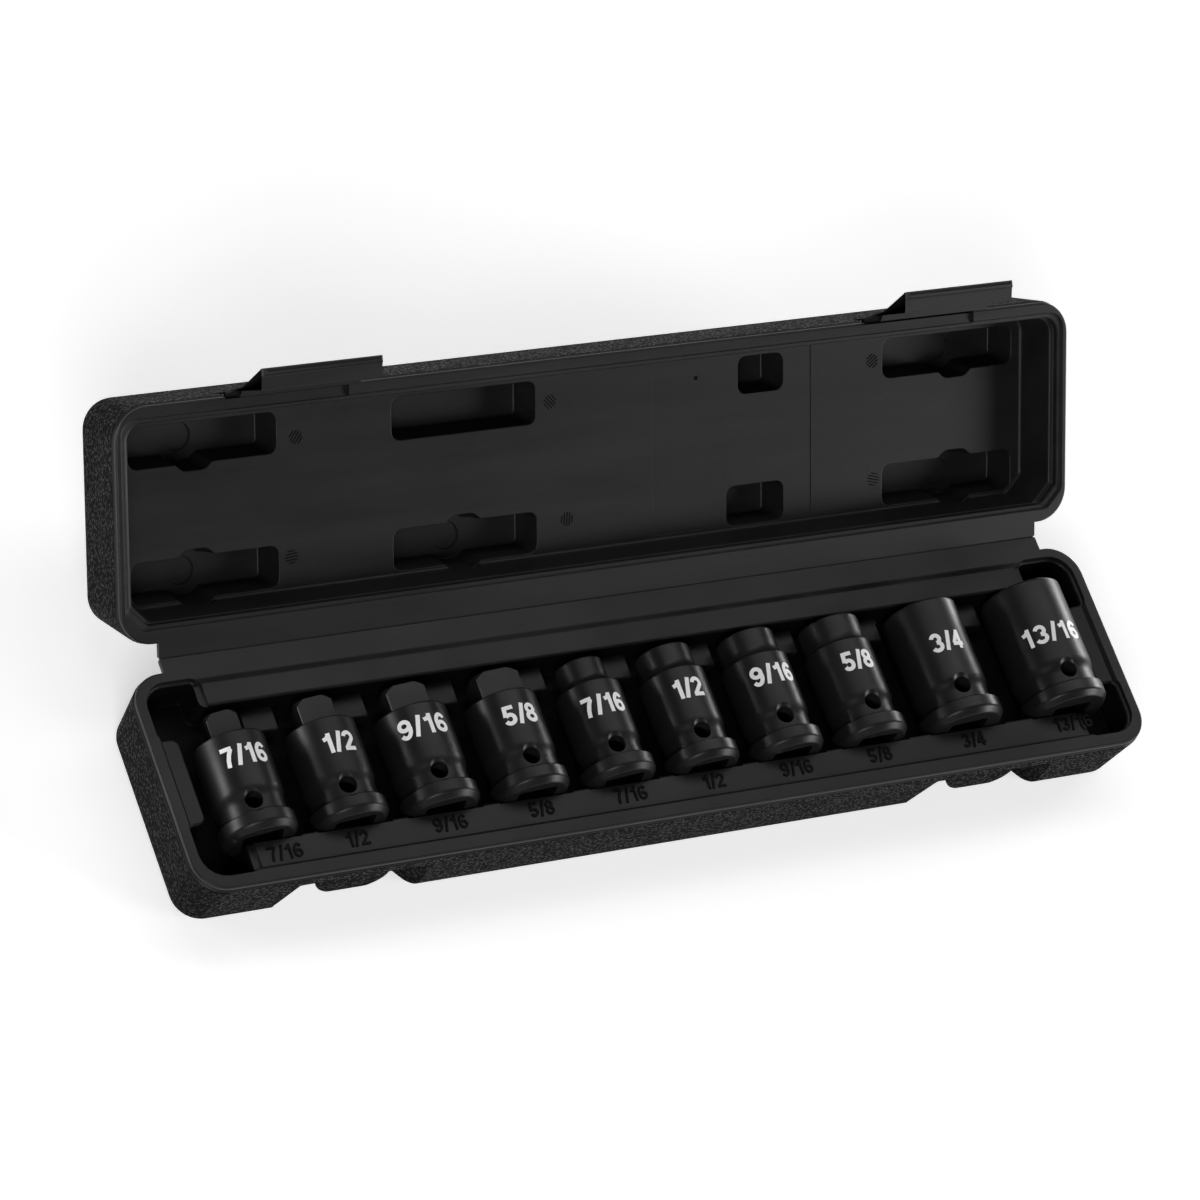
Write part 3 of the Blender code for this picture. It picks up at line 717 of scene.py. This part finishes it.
def tray_tools():
    """What shapes the tray: levels, open floor, dividers, cradles and end steps."""
    shallow = rect(-RECESS_X, RECESS_X, RECESS_FRONT, RECESS_BACK, RECESS_R)
    deep = [
        (-RECESS_X, RECESS_FRONT, RECESS_R), (-BAR_X, RECESS_FRONT, 1.2),
        (-BAR_X, BAR_BACK, 1.0), (BAR_X, BAR_BACK, 1.0),
        (BAR_X, RECESS_FRONT, 1.2), (RECESS_X, RECESS_FRONT, RECESS_R),
        (RECESS_X, PAD_FRONT, 2.0), (PAD_X, PAD_FRONT, 3.0),
        (PAD_X, PAD_BACK, 3.0), (RECESS_X, PAD_BACK, 2.0),
        (RECESS_X, RECESS_BACK, RECESS_R), (SHELF_X, RECESS_BACK, 2.0),
        (SHELF_X, SHELF_FRONT, 2.4), (-SHELF_X, SHELF_FRONT, 2.4),
        (-SHELF_X, RECESS_BACK, 2.0), (-RECESS_X, RECESS_BACK, RECESS_R),
        (-RECESS_X, PAD_BACK, 2.0), (-PAD_X, PAD_BACK, 3.0),
        (-PAD_X, PAD_FRONT, 3.0), (-RECESS_X, PAD_FRONT, 2.0),
    ]
    rings = pocket_rings(deep, LEVEL_FLOOR, LEVEL_TOP, 1.2, 0.9, 0.4, 5)
    tools = [
        ("DIFFERENCE", tool("tray_level", pocket_rings(shallow, LEVEL_TOP, BASE_H, 0.5, 0.6))),
        # the deep tray's floor and lower walls take the darkened material: painted shade
        ("DIFFERENCE", make("tray_deep", stack(rings, [2] * 6 + [1] * 6))),
    ]
    rows = list(SOCKETS.values())
    for left, right in zip(rows, rows[1:]):
        middle = (left[0] + left[2] / 2 + right[0] - right[2] / 2) / 2.0
        outline = rect(middle - RIDGE_X, middle + RIDGE_X, 18.0, SHELF_FRONT + 1.5, 1.0)
        tools.append(("UNION", tool("ridge", boss_rings(outline, LEVEL_FLOOR - 2.0, RIDGE_TOP, 0.8))))
    wells = []
    noses = []
    for x, _, flange_d, shoulder, _, nose_d, side, *_ in rows:
        wells.append((x, flange_d / 2 + WELL_GAP, DRIVE_Y - 0.8, shoulder + 1.2))
        noses.append((x, (nose_d or side * 1.32) / 2 + WELL_GAP, shoulder, SHELF_FRONT - 0.6))
    tools.append(("DIFFERENCE", channels("wells", wells)))
    tools.append(("DIFFERENCE", channels("nose_wells", noses)))
    for side in (-1.0, 1.0):
        for end, y0, y1 in ((BAR_X, RECESS_FRONT + 0.6, BAR_BACK + 1.5),
                            (SHELF_X, SHELF_FRONT - 1.5, RECESS_BACK - 0.6)):
            x0, x1 = sorted((side * (end - 2.6), side * (end + 1.6)))
            rings = pocket_rings(rect(x0, x1, y0, y1, 0.6), LEVEL_TOP - 1.3, LEVEL_TOP, 0.3, 0.2, 0.1)
            tools.append(("DIFFERENCE", tool("end_step", rings)))
    return tools


def latch_recess_tools(x):
    """Drafted recess in the front wall under the catch band, with a rounded lug hanging in its middle."""
    wall = -CASE_W / 2
    top = BASE_H - CATCH_BAND
    levels = []
    for z, half, ease in ((-1.0, NICHE_FOOT, 0.0), (EDGE_R, NICHE_FOOT, 0.0), (top - 0.8, NICHE_HEAD, 0.0),
                          (top - 0.25, NICHE_HEAD, 0.25), (top, NICHE_HEAD, 0.8)):
        inner = half - NICHE_SLANT * (NICHE_DEEP + NICHE_FRONT)
        plan = [
            (x - half, wall - NICHE_FRONT, 0.3), (x + half, wall - NICHE_FRONT, 0.3),
            (x + inner, wall + NICHE_DEEP, 2.0), (x - inner, wall + NICHE_DEEP, 2.0),
        ]
        levels.append((ring(plan, -ease, 6), z))
    tools = [("DIFFERENCE", make("latch_recess", stack(levels), 0))]
    levels = []
    for fall, shrink in quarter(10):
        rise = LUG_ROUND * fall
        half = LUG_X - LUG_ROUND * shrink + 0.1 * rise
        outline = rect(x - half, x + half, wall + LUG_BACK, wall + NICHE_DEEP + 1.6, 1.2)
        levels.append((ring(outline, -max(0.0, 0.6 - rise) * 0.6, 6), LUG_FOOT + rise))
    levels.append((levels[-1][0], top + 1.0))
    return tools + [("UNION", make("lug", stack(levels), 0))]


def web_half(name, z0, z1):
    """One half of the folding web, with its fold edge at the hinge line."""
    bm = block((-WEB_L / 2, CASE_W / 2 - 2.0, z0), (WEB_L / 2, HINGE_Y - FOLD_PLAY, z1))
    return make(name, bm, 1)


def case_base():
    """Lower half with its tray."""
    base = half_shell("base_moulding", BASE_H, -1.0)
    base.data.transform(move(0.0, 0.0, BASE_H))
    tools = tray_tools()
    for side in (-1.0, 1.0):
        tools += latch_recess_tools(side * LATCH_X)
    tools.append(("UNION", web_half("web_lower", BASE_H - WEB_T, BASE_H)))
    combine(base, tools)
    shade(base)
    return finish_piece(base, "base", "case_plastic", "base")


def pocket_corners(x0, x1, y0, y1, bulges):
    """Pocket outline with round bulges; each bulge is (x, side) with side -1 front or 1 back."""
    corners = []
    for wall, along in ((-1, 1.0), (1, -1.0)):      # front wall rightwards, back wall leftwards
        y = y0 if wall < 0 else y1
        peak = y + wall * BULGE_OUT
        start, stop = (x0, x1) if wall < 0 else (x1, x0)
        corners.append((start, y, POCKET_R))
        for x in [place for place, side in bulges if side == wall]:
            corners += [(x - along * BULGE_FOOT, y, 1.5), (x - along * BULGE_TOP, peak, 4.0)]
            corners += [(x + along * BULGE_TOP, peak, 4.0), (x + along * BULGE_FOOT, y, 1.5)]
        corners.append((stop, y, POCKET_R))
    return corners


def lid_outline(in_x, in_y):
    """Outline of the inside of the lid, moved inwards by in_x at the ends and in_y at front and back."""
    x = LID_IN_X - in_x
    front = LID_IN_FRONT + in_y
    back = LID_IN_BACK - in_y
    return [
        (-x, front, 6.0), (x, front, 6.0),
        (x, back - LID_BEVEL, 2.5), (x - LID_BEVEL, back, 2.5),
        (-x + LID_BEVEL, back, 2.5), (-x, back - LID_BEVEL, 2.5),
    ]


def lid_inside():
    """Cutter for the inside of the lid, with the stepped lip round its rim."""
    levels = [
        (4.3 + 1.6 * shrink, 1.25 + 1.2 * shrink, LID_DEPTH - 1.4 * rise) for rise, shrink in quarter(5)
    ]
    levels += [
        (2.1, 0.5, 3.9), (1.9, 0.4, 3.45), (1.5, 0.25, 3.15), (0.7, 0.05, 3.0), (0.35, -0.05, 2.8),
        (0.2, -0.15, 2.3), (0.15, -0.15, 1.25), (-0.05, -0.3, 0.98), (-0.35, -0.6, 0.9), (-1.35, -1.35, 0.9),
        (-1.6, -1.6, 0.75), (-1.75, -1.75, 0.3), (-2.1, -2.1, 0.0), (-2.1, -2.1, -3.0),
    ]
    return tool("lid_inside", [(ring(lid_outline(in_x, in_y), 0.0, 7), z) for in_x, in_y, z in levels])


def latch_notches():
    """A shallow step in the rim at each latch, and under it the slot that holds the latch's root."""
    trail = [
        (2.0, -1.0), (-NOTCH_DEEP, -1.0), (-NOTCH_DEEP, NOTCH_STEP), (-1.35, NOTCH_STEP),
        (-2.3, NOTCH_STEP + 1.2), (-NOTCH_DEEP, NOTCH_STEP + 1.2), (-NOTCH_DEEP, NOTCH_TALL),
        (2.0, NOTCH_TALL),
    ]
    bm = bmesh.new()
    for side in (-1.0, 1.0):
        limits = (side * LATCH_X - LATCH_W / 2 - NOTCH_PLAY, side * LATCH_X + LATCH_W / 2 + NOTCH_PLAY)
        prism(bm, *([(x, -CASE_W / 2 - out, up) for out, up in trail] for x in limits))
    return make("latch_notches", bm, 1)


def case_lid():
    """Upper half, built shut and then swung open about the fold line."""
    lid = half_shell("lid_moulding", LID_H, 1.0)
    panel = rect(*PANEL_X, LID_IN_FRONT + 3.0, LID_IN_BACK - 3.0, 0.3)
    rings = pocket_rings(panel, LID_DEPTH + 0.25, LID_DEPTH, 0.08, 0.1, 0.02, 2)
    tools = [("DIFFERENCE", lid_inside()), ("DIFFERENCE", tool("panel", rings))]
    dents = bmesh.new()
    for x0, x1, y0, y1, bulges in POCKETS:
        corners = pocket_corners(x0, x1, y0, y1, bulges)
        rings = pocket_rings(corners, LID_DEPTH + LID_POCKET, LID_DEPTH, 0.8, 0.4, 1.2, 5)
        tools.append(("DIFFERENCE", tool("lid_pocket", rings)))
        if bulges:
            place = Matrix.Translation((bulges[0][0], (y0 + y1) / 2.0, LID_DEPTH + LID_POCKET))
            round_bar(dents, place, 5.4, 4.9, 1.2, 40)
    tools.append(("DIFFERENCE", make("dents", dents, 1)))
    x, y, radius = PIT
    pit = round_bar(bmesh.new(), Matrix.Translation((x, y, LID_DEPTH)), radius, radius, 2.0, 24)
    tools.append(("DIFFERENCE", make("pit", pit, 1)))
    tools.append(("DIFFERENCE", latch_notches()))
    tools.append(("UNION", web_half("web_upper", 0.0, WEB_T)))
    combine(lid, tools)
    lid.data.transform(OPEN_LID)
    shade(lid)
    return finish_piece(lid, "lid", "case_plastic", "lid")


def lid_stamps():
    """Small hatched mould stamps raised on the lid floor."""
    bm = bmesh.new()
    for i, (x, y) in enumerate(STAMPS):
        stamp = Matrix.Translation((x, y, LID_DEPTH)) @ rotate(35.0 + 50.0 * i, "Z")
        for k in range(-2, 3):
            across = k * STAMP_PITCH
            reach = math.sqrt(STAMP_R ** 2 - across ** 2)
            place = stamp @ Matrix.Translation((across, 0.0, 0.0))
            size = Matrix.Diagonal((0.42, 2.0 * reach, 0.36, 1.0))
            bmesh.ops.create_cube(bm, size=1.0, matrix=place @ size)
    stamps = paint(make("lid_stamps", bm), LABEL)
    bevel(stamps, 0.12, 2)
    stamps.data.transform(OPEN_LID)
    return finish_piece(stamps, "lid", "case_plastic")


def fold_skin():
    """Thin bent plastic that joins the two halves of the web along the fold."""
    path = [        # (y, z) across the fold
        (44.6, 29.2), (45.6, 29.2), (45.95, 29.24), (46.3, 29.37), (46.65, 29.56), (46.95, 29.8),
        (47.6, 30.35),
    ]
    rows = []
    for i, (y, z) in enumerate(path):
        before = Vector(path[max(i - 1, 0)])
        after = Vector(path[min(i + 1, len(path) - 1)])
        along = (after - before).normalized()
        up = Vector((-along.y, along.x)) * 0.45
        rows.append([(y + up.x, z + up.y), (y - up.x, z - up.y)])
    section = [row[0] for row in rows] + [row[1] for row in reversed(rows)]
    limits = (-WEB_L / 2 + 0.4, WEB_L / 2 - 0.4)
    bm = prism(bmesh.new(), *([(x, y, z) for y, z in section] for x in limits))
    skin = smooth(paint(make("fold_skin", bm), SATIN), 40.0)
    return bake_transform(skin)


def latch(tag, side):
    """One snap latch: rolled root, hook and finger lip, with rounded lower corners."""
    section = []
    for degrees in range(0, 181, 15):
        angle = math.radians(degrees)
        section.append((-LATCH_BEAD * math.cos(angle), LATCH_BEAD * math.sin(angle)))
    section += [(LATCH_ROOT_V - out, LATCH_ROOT_N - down) for out, down in LATCH_TRAIL]
    limits = (-LATCH_W / 2, LATCH_W / 2)
    bm = prism(bmesh.new(), *([(x, y, z) for y, z in section] for x in limits))
    piece = make("latch_%s_moulding" % tag, bm)
    corners = [
        (-LATCH_W / 2, LATCH_FOOT, 2.0), (LATCH_W / 2, LATCH_FOOT, 2.0),
        (LATCH_W / 2, LATCH_HEAD, 0.6), (-LATCH_W / 2, LATCH_HEAD, 0.6),
    ]
    outline = ring(corners, 0.0, 8)
    trim = make("latch_trim", stack([(outline, -16.0), (outline, 16.0)]))
    trim.data.transform(rotate(90.0, "X"))
    paint(combine(piece, [("INTERSECT", trim)]), LATCH)
    rest = rotate(joints["latch_%s_swing" % tag]["range_deg"][0], "X")
    root = move(side * LATCH_X, -CASE_W / 2 - LATCH_ROOT_V, -LATCH_ROOT_N)
    piece.data.transform(OPEN_LID @ root @ rest)
    bevel(piece, 0.3, 3)
    flatten(smooth(piece, 40.0))
    return finish_piece(piece, "latch_" + tag, "latch_plastic", "latch_" + tag)


def bar_labels():
    """Raised sizes along the label bar."""
    made = []
    for i, (text, x, y) in enumerate(LABELS):
        sign = lettering("bar_label_%d" % i, text, LABEL_H, None, 0.15, -0.3, 0.5)
        sign.data.materials.append(LABEL)
        sign.data.transform(move(x, y, LEVEL_TOP))
        bevel(sign, 0.16, 2, 50.0)
        sign.name = "bar_label_" + text.replace("/", "_") + "_%d" % i
        made.append(finish_piece(sign, "base", "case_plastic"))
    return made


# ---------------------------------------------------------------- sockets
def rounded(profile, steps=5):
    """Replace each corner (r, y, size) of an open outline by a smooth curve of that size."""
    points = []
    for i, (r, y, size) in enumerate(profile):
        here = Vector((r, y))
        if size <= 0.0:
            points.append(here)
            continue
        before = Vector(profile[i - 1][:2])
        after = Vector(profile[i + 1][:2])
        start = here + (before - here).normalized() * size
        end = here + (after - here).normalized() * size
        for k in range(steps + 1):
            t = k / steps
            points.append(start * (1 - t) ** 2 + here * 2 * t * (1 - t) + end * t ** 2)
    return points


def turned(name, profile, steps=TURN_STEPS):
    """Spin an (r, y) outline about the socket axis, drive end at high local z."""
    bm = bmesh.new()
    chain = [bm.verts.new((p.x, 0.0, -p.y)) for p in profile]
    edges = [bm.edges.new(pair) for pair in zip(chain, chain[1:])]
    bmesh.ops.spin(bm, geom=chain + edges, cent=(0, 0, 0), axis=(0, 0, 1), dvec=(0, 0, 0),
                   angle=2 * math.pi, steps=steps, use_duplicate=False)
    bmesh.ops.remove_doubles(bm, verts=bm.verts, dist=0.0005)
    return make(name, bm)


def socket_profile(body, flange, shoulder, end, nose):
    """Outline of a socket from drive end to working end, with a size for each rounded corner."""
    front = DRIVE_Y
    profile = [
        (0.0, front, 0.0), (flange - 2.0, front, 0.5), (flange, front + 2.1, 0.7),
        (flange, front + 6.75, 0.55), (body - 0.9, front + 7.1, 0.25),
        (body - 0.9, front + 12.4, 1.4), (body, front + 15.2, 1.4),
    ]
    if nose is None:
        profile += [(body, shoulder, 0.9), (0.0, shoulder, 0.0)]
    elif nose < body - 0.5:
        drop = body - nose
        profile += [
            (body, shoulder, 0.6), (nose + 0.35 * drop, shoulder + 0.5, 0.25), (nose, shoulder + 2.4, 1.1),
            (nose, end, 0.8), (0.0, end, 0.0),
        ]
    else:
        profile += [(body, end, 1.4), (0.0, end, 0.0)]
    return rounded(profile)


def square_hole(name, side, mouth, deep, outwards):
    """Square broach with a chamfered mouth, in the darkened material: painted shade inside it; outwards is +1
    towards the drive end.
    """
    corners = rect(-side / 2, side / 2, -side / 2, side / 2, 0.5)
    levels = [(0.0, -deep), (0.0, -0.8), (0.9, 0.1), (0.9, 1.5)]
    rings = [(ring(corners, wider, 3), mouth + outwards * out) for wider, out in levels]
    return make(name, stack(rings), 1)


def pin_hole(pin_y, neck):
    """Cross hole for the retaining pin, eased where it breaks out on both sides."""
    profile = [
        (0.0, -neck - 2.0), (PIN_R + 2.3, -neck - 2.0), (PIN_R, -neck + 0.35),
        (PIN_R, neck - 0.35), (PIN_R + 2.3, neck + 2.0), (0.0, neck + 2.0),
    ]
    drill = turned("pin_drill", [Vector(point) for point in profile], 48)
    drill.data.transform(move(0.0, 0.0, -pin_y) @ rotate(90.0, "X"))
    return drill


def plug_square(side, shoulder, end):
    """Square working end with turned, chamfered corners."""
    corners = rect(-side / 2, side / 2, -side / 2, side / 2, 0.35)
    levels = [(0.0, shoulder - STUB_ROOT), (0.0, end - 0.45), (-0.12, end - 0.14), (-0.45, end)]
    bar = make("square_bar", stack([(ring(corners, wider, 3), -y) for wider, y in levels]))
    root = shoulder - STUB_ROOT - 0.4
    outline = [
        (0.0, root, 0.0), (side * 0.69, root, 0.0),
        (side * 0.69, end - 2.4, 0.4), (side * 0.54, end, 0.5), (0.0, end, 0.0),
    ]
    return combine(bar, [("INTERSECT", turned("square_limit", rounded(outline)))])


def socket(name):
    """One socket: turned body, square drive, pin hole and its square working end."""
    (x, body_d, flange_d, shoulder, end, nose_d, side, pin_y, roll,
     text, text_y, text_roll, text_w) = SOCKETS[name]
    nose = None if nose_d is None else nose_d / 2
    piece = turned(name + "_body", socket_profile(body_d / 2, flange_d / 2, shoulder, end, nose))
    # second slot: painted shade inside the square holes and the through bore
    paint(piece, STEEL, BORE_SHADE)
    tools = []
    if nose is None:
        tools.append(("UNION", plug_square(side, shoulder, end)))
    else:
        tools.append(("DIFFERENCE", square_hole("bore", side, -end, BORE_DEEP, -1.0)))
        through = round_bar(bmesh.new(), Matrix.Identity(4), THROUGH_R, THROUGH_R, 30.0, 48)
        tools.append(("DIFFERENCE", make("through", through, 1)))
    tools.append(("DIFFERENCE", square_hole("drive", DRIVE_SIDE, -DRIVE_Y, DRIVE_DEEP, 1.0)))
    tools.append(("DIFFERENCE", pin_hole(pin_y, body_d / 2 - 0.9)))
    combine(piece, tools)
    axis = move(x, 0.0, AXIS_Z)
    piece.data.transform(axis @ (rotate(roll, "Y") @ rotate(90.0, "X")))
    shade(piece, 30.0)
    finish_piece(piece, name, "socket_steel", name)
    size = lettering(name + "_size", text, PRINT_H, text_w, 0.2, -0.06, INK)
    paint(wrap(size, body_d / 2), WHITE)
    size.data.transform(axis @ move(0.0, text_y, 0.0) @ rotate(text_roll, "Y"))
    return finish_piece(size, name, "socket_steel")


# ---------------------------------------------------------------- studio
def ground():
    """Pale glowing floor under the case."""
    bm = bmesh.new()
    bmesh.ops.create_grid(bm, x_segments=1, y_segments=1, size=4000.0,
                          matrix=Matrix.Translation((0.0, 0.0, -FLOOR_DROP)))
    floor = make("floor", bm)
    mat, _, bsdf = shader("floor_white", (0.85, 0.85, 0.85), 0.9)
    bsdf.inputs["Specular IOR Level"].default_value = 0.1
    bsdf.inputs["Emission Color"].default_value = (1.0, 1.0, 1.0, 1.0)
    bsdf.inputs["Emission Strength"].default_value = FLOOR_GLOW
    floor.data.materials.append(mat)


def sky():
    """A sweep that is bright low down and dim overhead."""
    world = bpy.data.worlds.new("studio")
    bpy.context.scene.world = world
    world.use_nodes = True
    tree = world.node_tree
    height = tree.nodes.new("ShaderNodeSeparateXYZ")
    tree.links.new(tree.nodes.new("ShaderNodeTexCoord").outputs["Generated"], height.inputs["Vector"])
    sweep = add(tree, "ShaderNodeMapRange", From_Min=0.0, From_Max=SKY_TOP, To_Min=SKY_LOW, To_Max=SKY_HIGH)
    sweep.interpolation_type = "SMOOTHSTEP"
    tree.links.new(height.outputs["Z"], sweep.inputs["Value"])
    tree.links.new(sweep.outputs["Result"], tree.nodes["Background"].inputs["Strength"])


def lamps():
    """Soft rectangular lamps."""
    for name, place, aim, wide, tall, power in LAMPS:
        data = bpy.data.lights.new(name, "AREA")
        data.shape = "RECTANGLE"
        data.size = wide
        data.size_y = tall
        data.energy = power
        lamp = bpy.data.objects.new(name, data)
        bpy.context.scene.collection.objects.link(lamp)
        lamp.location = place
        lamp.rotation_euler = (Vector(aim) - Vector(place)).to_track_quat("-Z", "Y").to_euler()


def camera():
    """The camera that fits the photo."""
    azimuth, elevation, roll = (math.radians(degrees) for degrees in CAMERA_TURN)
    flat = math.cos(elevation)
    back = Vector((-math.sin(azimuth) * flat, -math.cos(azimuth) * flat, math.sin(elevation)))
    level = Vector((math.cos(azimuth), -math.sin(azimuth), 0.0))
    steep = back.cross(level)
    right = math.cos(roll) * level + math.sin(roll) * steep
    up = -math.sin(roll) * level + math.cos(roll) * steep
    data = bpy.data.cameras.new("camera")
    data.sensor_width = CAMERA_SENSOR
    data.lens = CAMERA_LENS
    data.clip_end = 50.0
    eye = bpy.data.objects.new("camera", data)
    bpy.context.scene.collection.objects.link(eye)
    eye.matrix_world = Matrix.Translation(CAMERA_PLACE) @ Matrix((right, up, back)).transposed().to_4x4()
    bpy.context.scene.camera = eye
    bpy.context.scene.view_settings.view_transform = "Standard"



ground()
sky()
lamps()
camera()
case_base()
case_lid()
lid_stamps()
fold_skin()
latch("left", -1.0)
latch("right", 1.0)
bar_labels()
for socket_name in SOCKETS:
    socket(socket_name)
